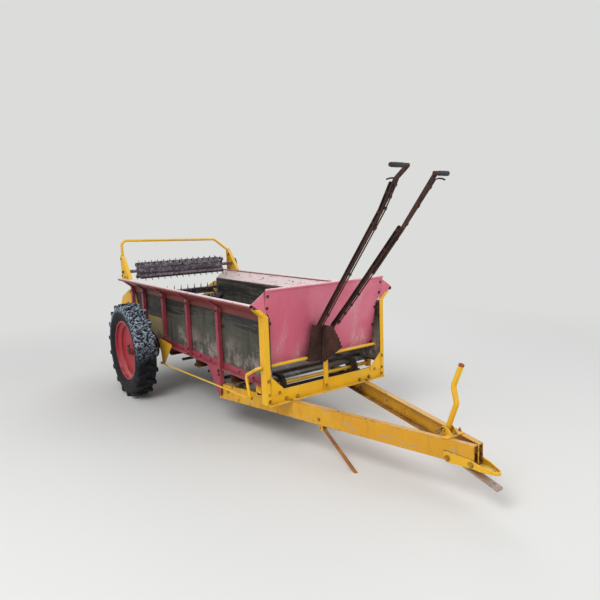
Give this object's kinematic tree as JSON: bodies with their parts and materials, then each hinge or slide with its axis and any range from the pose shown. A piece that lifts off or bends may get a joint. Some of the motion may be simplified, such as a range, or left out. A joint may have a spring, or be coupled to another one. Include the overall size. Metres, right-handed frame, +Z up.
{
  "type": "manure spreader",
  "caption": "Weathered ground-driven farm manure spreader: timber box with flared sides, apron conveyor, rear beaters under a pipe hoop, A-frame drawbar and hand levers",
  "frame": {"origin": "middle of the machine's length and width, on the ground", "axes": "+X forward to the hitch, +Y to the machine's left, +Z up"},
  "size_m": [5.205, 2.002, 2.124],
  "materials": {
    "yellow_enamel": "weathered gloss enamel, chipped to rust at edges",
    "red_enamel": "weathered red enamel, dull, with rust at edges",
    "faded_red_enamel": "sun-faded raspberry red enamel, chalky",
    "weathered_plywood": "grey weathered plywood with remains of a black face",
    "rusted_steel": "dark brown rust",
    "worn_steel": "worn bare steel with rust",
    "tyre_rubber": "aged black rubber with lichen"
  },
  "bodies": {
    "root": {"drawbar_arm_right": "yellow_enamel", "drawbar_arm_left": "yellow_enamel", "hitch_nose": "yellow_enamel", "front_sill": "yellow_enamel", "front_post_right": "yellow_enamel", "front_post_left": "yellow_enamel", "cross_members": "yellow_enamel", "rear_plate_right": "yellow_enamel", "rear_plate_left": "yellow_enamel", "hoop": "yellow_enamel", "hoop_leg_right": "yellow_enamel", "hoop_leg_left": "yellow_enamel", "axle_hangers": "yellow_enamel", "axle_side_plates": "yellow_enamel", "apron_front_shaft": "yellow_enamel", "apron_bearings": "yellow_enamel", "centre_post": "yellow_enamel", "stand_bracket": "yellow_enamel", "leg_bracket": "yellow_enamel", "bottom_rail_right": "red_enamel", "bottom_rail_left": "red_enamel", "side_stakes_right": "red_enamel", "side_stakes_left": "red_enamel", "flareboard_right": "red_enamel", "flareboard_left": "red_enamel", "front_panel": "faded_red_enamel", "panel_wing_right": "faded_red_enamel", "panel_wing_left": "faded_red_enamel", "floor_boards": "weathered_plywood", "side_board_right": "weathered_plywood", "side_board_left": "weathered_plywood", "apron": "rusted_steel", "drive_chains": "rusted_steel", "quadrant": "rusted_steel", "hitch_strap": "worn_steel", "axle_shaft": "worn_steel", "apron_rear_shaft": "worn_steel"},
    "wheel_right": {"wheel_rim_right": "red_enamel", "tyre_right": "tyre_rubber"},
    "wheel_left": {"wheel_rim_left": "red_enamel", "tyre_left": "tyre_rubber"},
    "main_beater_body": {"main_beater": "rusted_steel"},
    "upper_beater_body": {"upper_beater": "rusted_steel"},
    "spreader_body": {"wide_spread_rotor": "rusted_steel"},
    "drive_lever": {"lever_right": "rusted_steel", "cross_shaft": "yellow_enamel"},
    "apron_lever": {"lever_left": "rusted_steel"},
    "drive_rod_body": {"drive_rod": "yellow_enamel"},
    "bell_crank_body": {"bell_crank": "yellow_enamel"},
    "tongue_stand_body": {"tongue_stand": "yellow_enamel"},
    "parking_leg_body": {"parking_leg": "yellow_enamel"}
  },
  "joints": [
    {"name": "wheel_right_spin", "type": "hinge", "parent": "root", "child": "wheel_right", "pos_m": [-1.2545, -0.897, 0.495], "axis": [0, 1, 0], "continuous": true},
    {"name": "wheel_left_spin", "type": "hinge", "parent": "root", "child": "wheel_left", "pos_m": [-1.2545, 0.897, 0.495], "axis": [0, 1, 0], "continuous": true},
    {"name": "main_beater_spin", "type": "hinge", "parent": "root", "child": "main_beater_body", "pos_m": [-2.0425, 0, 0.822], "axis": [0, 1, 0], "continuous": true},
    {"name": "upper_beater_spin", "type": "hinge", "parent": "root", "child": "upper_beater_body", "pos_m": [-1.9125, 0, 1.268], "axis": [0, 1, 0], "continuous": true},
    {"name": "wide_spread_spin", "type": "hinge", "parent": "root", "child": "spreader_body", "pos_m": [-2.4525, 0, 0.69], "axis": [0, 1, 0], "continuous": true},
    {"name": "drive_lever_swing", "type": "hinge", "parent": "root", "child": "drive_lever", "pos_m": [0.9425, 0, 0.685], "axis": [0, 1, 0], "range_deg": [0, 32]},
    {"name": "apron_lever_swing", "type": "hinge", "parent": "root", "child": "apron_lever", "pos_m": [0.9425, 0, 0.685], "axis": [0, 1, 0], "range_deg": [0, 32]},
    {"name": "drive_rod_swing", "type": "hinge", "parent": "drive_lever", "child": "drive_rod_body", "pos_m": [0.8025, -0.683, 0.43], "axis": [0, 1, 0], "range_deg": [-36, 0]},
    {"name": "bell_crank_swing", "type": "hinge", "parent": "root", "child": "bell_crank_body", "pos_m": [-1.0435, -0.66, 0.575], "axis": [0, 1, 0], "range_deg": [0, 28]},
    {"name": "tongue_stand_swing", "type": "hinge", "parent": "root", "child": "tongue_stand_body", "pos_m": [2.2095, 0, 0.421], "axis": [0, -1, 0], "range_deg": [0, 160]},
    {"name": "parking_leg_swing", "type": "hinge", "parent": "root", "child": "parking_leg_body", "pos_m": [1.2755, -0.302, 0.227], "axis": [0, 1, 0], "range_deg": [0, 146]}
  ],
  "couplings": [
    {"joint": "drive_rod_swing", "follows": "drive_lever_swing", "ratio": -1.112},
    {"joint": "bell_crank_swing", "follows": "drive_lever_swing", "ratio": 0.85}
  ]
}
